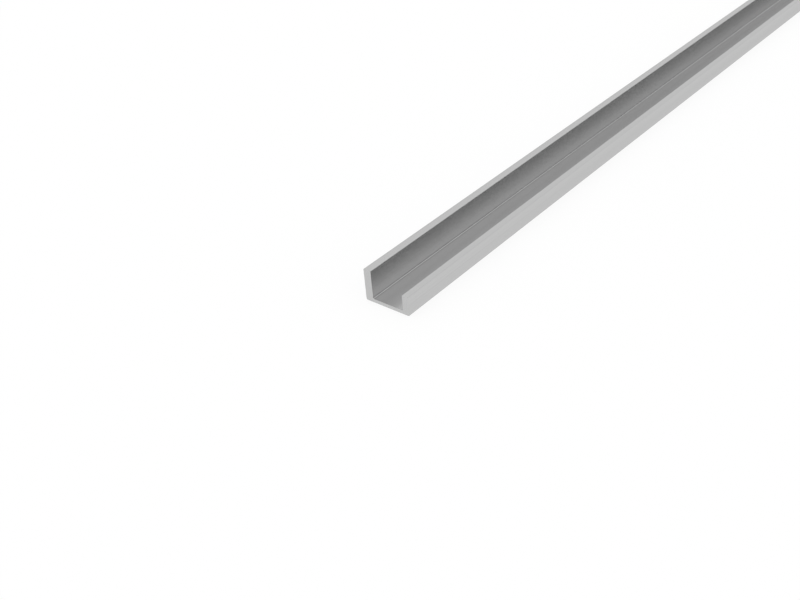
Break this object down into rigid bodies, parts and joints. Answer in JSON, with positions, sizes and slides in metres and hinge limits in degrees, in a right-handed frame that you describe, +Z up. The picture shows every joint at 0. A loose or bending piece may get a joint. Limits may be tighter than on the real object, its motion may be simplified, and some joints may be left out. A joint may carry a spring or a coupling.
{
  "type": "glass end profile",
  "caption": "Straight extruded aluminium bar of J section, with a tall and a short leg on a thin web, that caps the edge of a glass pane.",
  "frame": {"origin": "middle of the web's underside, halfway along the bar", "axes": "+X along the bar, +Y towards the tall leg's outer face, +Z up out of the slot's mouth"},
  "size_m": [1, 0.015, 0.01],
  "materials": {
    "mill_finish_aluminium": "satin, as extruded, with fine die lines along the bar and sawn ends"
  },
  "bodies": {
    "root": {"glass_end_profile": "mill_finish_aluminium"}
  },
  "joints": []
}
